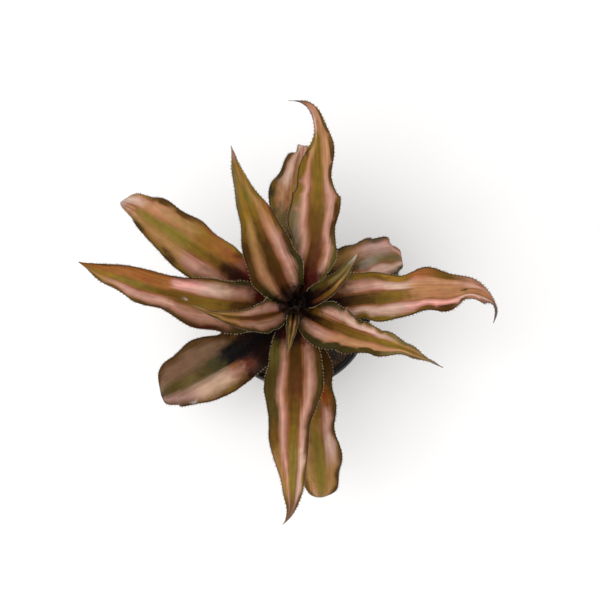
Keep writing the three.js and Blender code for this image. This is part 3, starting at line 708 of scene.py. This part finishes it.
# Joins the rows into one closed skin: upper face, lower face, and a cap at each end.
def addBlade(build, rows, topSlot=0, backSlot=1):
    loops = []
    for t, row in rows:
        under = row[-2:0:-1]
        points = [spot["top"] if abs(spot["side"]) < 1 else 0.5 * (spot["top"] + spot["bottom"])
                  for spot in row]
        points += [spot["bottom"] for spot in under]
        loops.append([
            addCorner(build, point, along=t, side=spot["side"], lane=spot["lane"], lie=spot["lie"])
            for point, spot in zip(points, row + under)])
    columns = len(rows[0][1]) - 1
    for near, far in zip(loops, loops[1:]):
        for j in range(len(near)):
            k = (j + 1) % len(near)
            addFace(build, (near[j], far[j], far[k], near[k]), topSlot if j < columns else backSlot)
    for ring, order in ((loops[0], 1), (loops[-1], -1)):
        for j in range(1, columns + 1):
            corners = list(dict.fromkeys((ring[j - 1], ring[j], ring[-j], ring[1 - j])))
            addFace(build, corners[::order], backSlot)


# Small hooked spines stand along both edges and lean towards the tip.
spines = {
    "pitch": 1.25, "jitter": 0.35, "first": (0.6, 1.2), "seed": 100,
    "wide": 0.34, "thick": 0.16, "sunk": 0.15, "lean": 0.75, "hook": 0.28, "corners": 4,
    "waist": 0.55, "waistBend": 0.25,  # halfway up, its share of the foot's width and of the hook
    "tall": (0.7, 1.25), "least": 0.12,
    "from": 0.03, "fromSoft": 0.06, "until": 1.01, "untilSoft": 0.12,  # they fade away at both ends
}


def addSpine(build, here, root, height, t):
    marks = {"along": t, "side": here["side"], "lie": here["lie"]}
    way = (here["outward"] + here["along"] * spines["lean"]).normalized()
    bend = here["along"] * (spines["hook"] * height)
    rings = []
    stages = ((-spines["sunk"], 1, 0), (0.5 * height, spines["waist"], spines["waistBend"]))
    for rise, share, curl in stages:
        centre = root + way * rise + bend * curl
        ring = []
        for turn in evenTurns(spines["corners"]):
            offset = here["along"] * (spines["wide"] * share * math.cos(turn))
            offset += here["normal"] * (spines["thick"] * share * math.sin(turn))
            ring.append(addCorner(build, centre + offset, reach=max(rise / height, 0), **marks))
        rings.append(ring)
    point = addCorner(build, root + way * height + bend, reach=1, **marks)
    low, high = rings
    for j in range(spines["corners"]):
        k = (j + 1) % spines["corners"]
        addFace(build, (low[j], low[k], high[k], high[j]), 2)
        addFace(build, (high[j], high[k], point), 2)
    addFace(build, low[::-1], 2)


def addSpines(build, leaf, rows, draw):
    for column in (0, -1):
        walked = 0
        due = draw.uniform(*spines["first"]) * spines["pitch"]
        for (t, row), (tNext, rowNext) in zip(rows, rows[1:]):
            here = row[column]
            step = rowNext[column]["top"] - here["top"]
            while walked + step.length > due:
                share = (due - walked) / step.length
                tHere = mix(t, tNext, share)
                fade = ease((tHere - spines["from"]) / spines["fromSoft"])
                fade *= ease((spines["until"] - tHere) / spines["untilSoft"])
                height = leaf["spine"] * draw.uniform(*spines["tall"]) * fade
                if height > spines["least"]:
                    addSpine(build, here, here["top"] + step * share, height, tHere)
                due += spines["pitch"] * draw.uniform(1 - spines["jitter"], 1 + spines["jitter"])
            walked += step.length


backMaterial = scurfyBack()
spineMaterial = hornySpine()
leafSlots = ["young_leaf"] * 3 + ["leaf"] * 6 + ["old_leaf"] * 5
for number, (own, slot) in enumerate(zip(leaves, leafSlots), 1):
    leaf = {**commonLeaf, **own}
    build = newBuild("along", "side", "lane", "lie", "reach")
    rows = bladeRows(leaf, number, blade["rows"], blade["columns"], blade["heelRows"])
    addBlade(build, rows)
    addSpines(build, leaf, rows, random.Random(spines["seed"] + number))
    skins = [waxyStripedSkin(leaf, f"waxy_striped_leaf_{number:02d}"), backMaterial, spineMaterial]
    piece = makePiece(f"striped_leaf_{number:02d}", build, skins)
    seat(piece, f"leaf_{number:02d}")
print("leaves grown:", len(leaves))


# Old bromeliad stem: corky brown bark ringed by torn leaf bases. It looks dry and fibrous.
def corkyStem():
    material, add, cork = newMaterial("corky_stem")
    stretched = stepsOf(add, stem["fibreWide"], stem["fibreWide"], stem["fibreLong"])
    fibres = add("TexNoise", {"Vector": stretched, "Scale": 1, "Detail": 4})
    flakes = add("TexNoise", {"Vector": stepsOf(add), "Scale": 1 / stem["flake"], "Detail": 3})
    colour = add("ValToRGB", (fibres,), [(0.3, "#2a1a10"), (0.5, "#4d3522"), (0.7, "#7a5b3c")])
    high = add("SeparateXYZ", (stepsOf(add),), output="Z")
    # Painted shade: the bark darkens near the top, deep in the heart of the rosette.
    dark = add("MapRange", (high, stem["darkFrom"], stem["darkTo"]))
    setSockets(cork, {
        "Base Color": add("MixRGB", (dark, colour, linear("#1c0e08"))),
        "Roughness": add("MapRange", (flakes, 0, 1, 0.65, 0.95)),
        "Normal": add("Bump", {"Height": fibres, "Strength": 0.7, "Distance": 0.5 * mm}),
    })
    return material


def stemProfile():
    profile = [(0.01, stem["foot"])]
    for k in range(stem["footSteps"] + 1):
        turn = 0.5 * math.pi * k / stem["footSteps"]
        radius = stem["radius"] - stem["footRound"] * (1 - math.sin(turn))
        profile.append((radius, stem["foot"] + stem["footRound"] * (1 - math.cos(turn))))
    z = stem["foot"] + stem["footRound"]
    while z < stem["shoulder"]:
        profile.append((stemRadiusAt(z), z))
        z += stem["rowHeight"]
    for k in range(stem["topSteps"] + 1):
        turn = 0.5 * math.pi * k / stem["topSteps"]
        z = mix(stem["shoulder"], stem["top"], math.sin(turn))
        profile.append((stem["budRadius"] * math.cos(turn), z))
    return profile


def addStem(build):
    rings = []
    for radius, z in stemProfile():
        ring = []
        for turn in evenTurns(stem["segments"]):
            # Each scar dips under the next and climbs a little round the stem, as the leaves did.
            step = (z - stem["foot"]) / stem["scarPitch"] + turn / (2 * math.pi)
            dip = stem["scarDepth"] * (step % 1) ** 2 * min(1, radius / stem["radius"])
            rough = stem["bark"] * noise.noise(Vector((3 * math.cos(turn), 3 * math.sin(turn), 0.5 * z)))
            scarred = stem["foot"] + stem["barkFrom"] < z < stem["shoulder"]
            spot = around(max(radius - (dip - rough if scarred else 0), 0.01), turn, z)
            ring.append(addCorner(build, spot, lie=tuple(spot)))
        rings.append(ring)
    joinRings(build, rings)


# The newest leaves, still wrapped round the growing point. A pair of values goes from the outermost
# leaf to the innermost.
bud = {
    "count": 6, "firstHeading": 72, "turn": 137.5, "droop": 12, "firstNumber": 30,
    "length": (7.6, 3.2), "width": (3.6, 2.0), "rise": (62, 84), "root": (1.7, 0.4),
    "level": (74.6, 75.8), "rows": 24, "columns": 12, "strandLong": 8.3333, "strandWide": 0.45455,
}
budLeaf = {
    "neck": 0.9, "widest": 0.3, "taper": 1.4, "fold": 55, "wave": 0, "left": (3, 0, 0),
    "right": (3, 0, 0), "crinkle": 0, "point": 0.05,
}


# Bud leaves, smooth and waxy and dark maroon. They are painted almost black, with a red cast, as
# the shade deep in the heart of the rosette, a little lighter towards their tips.
def waxyBudSkin():
    material, add, skin = newMaterial("waxy_bud_leaf")
    lie = add("Attribute", output="Vector", attribute_name="lie")
    along = add("Attribute", output="Fac", attribute_name="along")
    spread = (1 / bud["strandLong"], 1 / bud["strandWide"], 1)
    stretched = add("VectorMath", (lie, spread), operation="MULTIPLY")
    strands = add("TexNoise", {"Vector": stretched, "Scale": 1, "Detail": 3})
    high = add("Math", (strands, 0.5, along), operation="MULTIPLY_ADD")
    colour = add("ValToRGB", (high,), [(0.3, "#040202"), (0.75, "#0e0604"), (1, "#20140a")])
    setSockets(skin, {
        "Base Color": colour,
        "Normal": add("Bump", {"Height": strands, "Strength": 0.5, "Distance": 0.1 * mm}),
        "Roughness": 0.5, "IOR": 1.45, "Specular IOR Level": 0.04,
    })
    return material


def addBud(build):
    for n in range(bud["count"]):
        share = n / (bud["count"] - 1)
        shape = {key: mix(*bud[key], share) for key in ("length", "width", "rise", "root", "level")}
        leaflet = {**commonLeaf, **budLeaf, **shape, "heading": bud["firstHeading"] + bud["turn"] * n,
                   "fall": shape["rise"] - bud["droop"]}
        addBlade(build, bladeRows(leaflet, bud["firstNumber"] + n, bud["rows"], bud["columns"]), 1, 1)


stemBuild = newBuild("along", "side", "lane", "lie")
addStem(stemBuild)
addBud(stemBuild)
seat(makePiece("corky_stem", stemBuild, [corkyStem(), waxyBudSkin()]), "stem")
print("stem made")


pot = {
    "height": 58, "rim": 31, "bandHeight": 7, "bandLean": 0.2, "bandThin": 0.4, "step": 1.4,
    "foot": 21, "footHeight": 2.4, "wall": 1.1, "floor": 1.6, "segments": 144, "roundSteps": 5,
    "drains": 6, "drainRadius": 2.5, "drainCircle": 13.5, "drainSegments": 40,
    "drill": (-3, 6),  # from under the floor to above it
    "grain": 0.4, "flowWide": 4, "flowLong": 33.333, "dust": 5,
}
innerFoot = pot["foot"] - pot["wall"]
innerBand = pot["rim"] - pot["step"] - pot["wall"]


def innerRadius(z):
    climb = (z - pot["footHeight"]) / (pot["height"] - pot["bandHeight"] - pot["footHeight"])
    return mix(innerFoot, innerBand, min(max(climb, 0), 1))


mixBed = {
    "top": 51.6, "dish": 1.2, "lump": 0.7, "hole": 6.3, "holeBottom": 34.4, "gap": 0.3,
    "rings": 44, "segments": 160, "sideLevels": (10, 20, 30, 40, 48, 51), "edgeSoft": 2,
    "crumbs": 620, "crumbFrom": 7.6, "crumbTo": 27, "crumbRounds": 2, "knobbly": 0.55, "seed": 41,
    "peatUpTo": 0.62, "barkUpTo": 0.95,  # of every crumb drawn from 0 to 1; the rest is perlite
    "peat": (0.4, 1.0), "bark": (0.9, 1.9), "perlite": (0.6, 1.2),
    "lumpSquash": (1, 0.9, 0.8), "barkWide": (0.4, 0.8), "barkThick": (0.25, 0.45),
    "peatGrain": 0.7143, "peatPatch": 4.5455, "barkLayer": 0.625, "barkLong": 2, "foam": 0.33333,
}


# Damp peat: nearly black-brown crumbs with no gloss.
def dampPeat():
    material, add, peat = newMaterial("damp_peat")
    place = stepsOf(add)
    crumb = add("TexNoise", {"Vector": place, "Scale": 1 / mixBed["peatGrain"], "Detail": 5})
    patch = add("TexNoise", {"Vector": place, "Scale": 1 / mixBed["peatPatch"], "Detail": 2})
    both = add("Math", (patch, 0.5, crumb), operation="MULTIPLY_ADD")
    colour = add("ValToRGB", (both,), [(0.5, "#221a14"), (0.75, "#4a3c31"), (1, "#7a6a5a")])
    setSockets(peat, {
        "Base Color": colour,
        "Normal": add("Bump", {"Height": crumb, "Strength": 0.8, "Distance": 0.5 * mm}),
        "Roughness": 0.95,
    })
    return material


# Composted pine bark: red-brown chips with a fine layered grain.
def pineBark():
    material, add, bark = newMaterial("pine_bark_chip")
    place = stepsOf(add, mixBed["barkLayer"], mixBed["barkLong"], mixBed["barkLayer"])
    layers = add("TexNoise", {"Vector": place, "Scale": 1, "Detail": 4})
    colour = add("ValToRGB", (layers,), [(0.3, "#2f1e14"), (0.52, "#5f3f29"), (0.75, "#8a6747")])
    setSockets(bark, {
        "Base Color": colour,
        "Normal": add("Bump", {"Height": layers, "Strength": 0.6, "Distance": 0.3 * mm}),
        "Roughness": 0.85,
    })
    return material


# Perlite: volcanic glass puffed by heat, off-white, foamy and matt.
def puffedPerlite():
    material, add, perlite = newMaterial("puffed_perlite")
    foam = add("TexVoronoi", {"Vector": stepsOf(add), "Scale": 1 / mixBed["foam"]})
    colour = add("ValToRGB", (foam,), [(0, "#a89f90"), (0.4, "#d8d2c6"), (0.8, "#e9e5dc")])
    setSockets(perlite, {
        "Base Color": colour,
        "Normal": add("Bump", {"Height": foam, "Strength": 0.5, "Distance": 0.2 * mm}),
        "Roughness": 0.9,
    })
    return material


# Swells that cross each other about every centimetre, with smaller lumps on them.
def bedHeight(x, y):
    radius = math.hypot(x, y)
    edge = innerRadius(mixBed["top"]) - mixBed["gap"]
    share = min(max((edge - radius) / (edge - mixBed["hole"]), 0), 1)
    lump = math.sin(0.55 * x + 1.3) * math.sin(0.6 * y + 0.4) + 0.6 * math.sin(1.1 * x - 0.8 * y)
    fine = 0.45 * noise.noise(Vector((0.7 * x, 0.7 * y, 5)))
    fine += 0.3 * noise.noise(Vector((1.9 * x, 1.9 * y, 9)))
    fade = ease((edge - radius) / mixBed["edgeSoft"])
    fade *= ease((radius - mixBed["hole"]) / mixBed["edgeSoft"])
    return mixBed["top"] - mixBed["dish"] * share + (mixBed["lump"] * lump + fine) * fade


def addBed(build):
    edge = innerRadius(mixBed["top"]) - mixBed["gap"]
    floor = pot["floor"] + mixBed["gap"]
    foot = innerFoot - mixBed["gap"]
    outline = [(0.01, floor), (foot, floor), (foot, pot["footHeight"])]
    outline += [(innerRadius(z) - mixBed["gap"], z) for z in mixBed["sideLevels"]]
    shares = [k / mixBed["rings"] for k in range(mixBed["rings"] + 1)]
    outline += [(mix(edge, mixBed["hole"], share), None) for share in shares]  # None follows the top
    outline += [(mixBed["hole"], mixBed["holeBottom"]), (0.01, mixBed["holeBottom"])]
    rings = []
    for radius, z in outline:
        ring = []
        for turn in evenTurns(mixBed["segments"]):
            x = radius * math.cos(turn)
            y = radius * math.sin(turn)
            ring.append(addCorner(build, Vector((x, y, bedHeight(x, y) if z is None else z))))
        rings.append(ring)
    joinRings(build, rings)


# One crumb: a small ball pushed out of round, then squashed to a chip or left as a lump.
def addCrumb(build, ball, spot, size, squash, slot, draw):
    spin = Matrix.Rotation(draw.uniform(0, 6.283), 3, "Z")
    spin = spin @ Matrix.Rotation(draw.uniform(-0.5, 0.5), 3, "X")
    offset = Vector((draw.uniform(0, 50), draw.uniform(0, 50), draw.uniform(0, 50)))
    corners = []
    for point in ball["corners"]:
        bulge = 1 + mixBed["knobbly"] * noise.noise(point * 1.3 + offset)
        shaped = Vector((point.x * squash[0], point.y * squash[1], point.z * squash[2])) * (bulge * size)
        corners.append(addCorner(build, spot + spin @ shaped))
    for face in ball["faces"]:
        addFace(build, [corners[i] for i in face], slot)


def unitBall(rounds):
    sheet = bmesh.new()
    bmesh.ops.create_icosphere(sheet, subdivisions=rounds, radius=1)
    corners = [v.co.copy() for v in sheet.verts]
    faces = [[v.index for v in f.verts] for f in sheet.faces]
    sheet.free()
    return {"corners": corners, "faces": faces}


bedBuild = newBuild()
addBed(bedBuild)
draw = random.Random(mixBed["seed"])
ball = unitBall(mixBed["crumbRounds"])
for n in range(mixBed["crumbs"]):
    turn = draw.uniform(0, 2 * math.pi)
    radius = math.sqrt(draw.uniform(mixBed["crumbFrom"] ** 2, mixBed["crumbTo"] ** 2))
    kind = draw.random()
    squash = mixBed["lumpSquash"]
    if kind < mixBed["peatUpTo"]:
        size, slot = draw.uniform(*mixBed["peat"]), 0
    elif kind < mixBed["barkUpTo"]:
        size, slot = draw.uniform(*mixBed["bark"]), 1
        squash = (1, draw.uniform(*mixBed["barkWide"]), draw.uniform(*mixBed["barkThick"]))
    else:
        size, slot = draw.uniform(*mixBed["perlite"]), 2
    x = radius * math.cos(turn)
    y = radius * math.sin(turn)
    spot = Vector((x, y, bedHeight(x, y) + 0.25 * size * squash[2]))
    addCrumb(bedBuild, ball, spot, size, squash, slot, draw)
seat(makePiece("potting_mix", bedBuild, [dampPeat(), pineBark(), puffedPerlite()]), "soil")
print("potting mix filled")


# Polypropylene, injection moulded from recycled black stock. It has a soft plastic gloss, a fine
# moulded grain, faint flow marks and a little dried dust from watering.
def mouldedPolypropylene():
    material, add, plastic = newMaterial("moulded_black_polypropylene")
    place = stepsOf(add)
    grain = add("TexNoise", {"Vector": place, "Scale": 1 / pot["grain"], "Detail": 3})
    drawn = stepsOf(add, pot["flowWide"], pot["flowWide"], pot["flowLong"])
    flow = add("TexNoise", {"Vector": drawn, "Scale": 1, "Detail": 3})
    dust = add("TexNoise", {"Vector": place, "Scale": 1 / pot["dust"], "Detail": 6, "Roughness": 0.7})
    base = add("ValToRGB", (flow,), [(0.3, "#121112"), (0.7, "#1d1b1c")])
    film = add("MapRange", (dust, 0.5, 0.8, 0, 0.16))
    setSockets(plastic, {
        "Base Color": add("MixRGB", (film, base, linear("#6b5f54"))),
        "Roughness": add("MapRange", (dust, 0.35, 0.7, 0.38, 0.7)),
        "Normal": add("Bump", {"Height": grain, "Strength": 0.35, "Distance": 0.08 * mm}),
        "IOR": 1.49,
    })
    return material


# Rounds each corner of an outline by its own radius.
def roundedOutline(corners):
    outline = []
    for n, (r, z, rounding) in enumerate(corners):
        here = Vector((r, z))
        if rounding == 0:
            outline.append((r, z))
            continue
        before = Vector(corners[n - 1][:2])
        after = Vector(corners[(n + 1) % len(corners)][:2])
        start = here + (before - here).normalized() * rounding
        end = here + (after - here).normalized() * rounding
        for k in range(pot["roundSteps"] + 1):
            share = k / pot["roundSteps"]
            point = start * (1 - share) ** 2 + here * (2 * share * (1 - share)) + end * share ** 2
            outline.append((point.x, point.y))
    return outline


# Its wall is turned first, and then the drain holes are drilled.
def makePot():
    bandBottom = pot["height"] - pot["bandHeight"]
    ledge = bandBottom + pot["wall"]
    bandInside = pot["rim"] - pot["wall"]
    outline = roundedOutline([
        (0.01, 0, 0), (pot["foot"], 0, 0.8), (pot["foot"], pot["footHeight"], 0.5),
        (pot["rim"] - pot["step"], bandBottom, 0.3), (pot["rim"] - pot["bandLean"], bandBottom, 0.4),
        (pot["rim"], pot["height"], 0.5), (bandInside, pot["height"], 0.5),
        (bandInside - pot["bandThin"], ledge, 0.4), (innerBand, ledge, 0.3), (innerBand, bandBottom, 0.2),
        (innerFoot, pot["footHeight"], 0.4), (innerFoot, pot["floor"], 0.4), (0.01, pot["floor"], 0),
    ])
    build = newBuild()
    addTurned(build, outline, pot["segments"])
    piece = makePiece("nursery_pot", build, [mouldedPolypropylene()])
    drills = newBuild()
    bore = [(pot["drainRadius"], z) for z in pot["drill"]]
    for turn in evenTurns(pot["drains"]):
        addTurned(drills, bore, pot["drainSegments"], around(pot["drainCircle"], turn))
    drill = makePiece("drain_drill", drills, [])
    cut = piece.modifiers.new("drains", "BOOLEAN")
    cut.operation = "DIFFERENCE"
    cut.solver = "EXACT"
    cut.object = drill
    bpy.context.view_layer.update()
    drilled = bpy.data.meshes.new_from_object(piece.evaluated_get(bpy.context.evaluated_depsgraph_get()))
    piece.modifiers.clear()
    piece.data = drilled
    bpy.data.objects.remove(drill)
    return piece


nurseryPot = makePot()
seat(nurseryPot, "pot")
print("pot moulded")


studio = {
    "floor": 3000, "floorColours": ("#f4f3f1", "#f5f4f3"), "tooth": 1.1111,
    "sky": "#fbfbfc", "skyStrength": 0.85,
    "keyFrom": (-380, -260, 1000), "keyTo": (0, 0, 60), "keySize": 900, "keyPower": 6.5,
}


# Matt white board, sprayed: an even pale floor with the faintest tooth.
def sprayedBoard():
    material, add, board = newMaterial("sprayed_white_board")
    tooth = add("TexNoise", {"Vector": stepsOf(add), "Scale": 1 / studio["tooth"], "Detail": 2})
    stops = list(zip((0.3, 0.7), studio["floorColours"]))
    setSockets(board, {"Base Color": add("ValToRGB", (tooth,), stops), "Roughness": 0.9})
    return material


def makeFloor():
    build = newBuild()
    half = studio["floor"] / 2
    corners = ((-half, -half, 0), (half, -half, 0), (half, half, 0), (-half, half, 0))
    addFace(build, [addCorner(build, Vector(corner)) for corner in corners])
    floor = makePiece("studio_floor", build, [sprayedBoard()])


def addSoftbox(name, spot, size, power):
    data = bpy.data.lights.new(name, "AREA")
    data.shape = "DISK"
    data.size = size * mm
    data.energy = power
    light = bpy.data.objects.new(name, data)
    light.location = Vector(spot) * mm
    light.rotation_euler = (Vector(studio["keyTo"]) - Vector(spot)).to_track_quat("-Z", "Y").to_euler()
    scene.collection.objects.link(light)


makeFloor()
addSoftbox("key_softbox", studio["keyFrom"], studio["keySize"], studio["keyPower"])
scene.world = bpy.data.worlds.new("pale_studio")
scene.world.use_nodes = True
setSockets(scene.world.node_tree.nodes["Background"].inputs,
           {"Color": linear(studio["sky"]), "Strength": studio["skyStrength"]})
scene.view_settings.view_transform = "Standard"
print("studio lit")
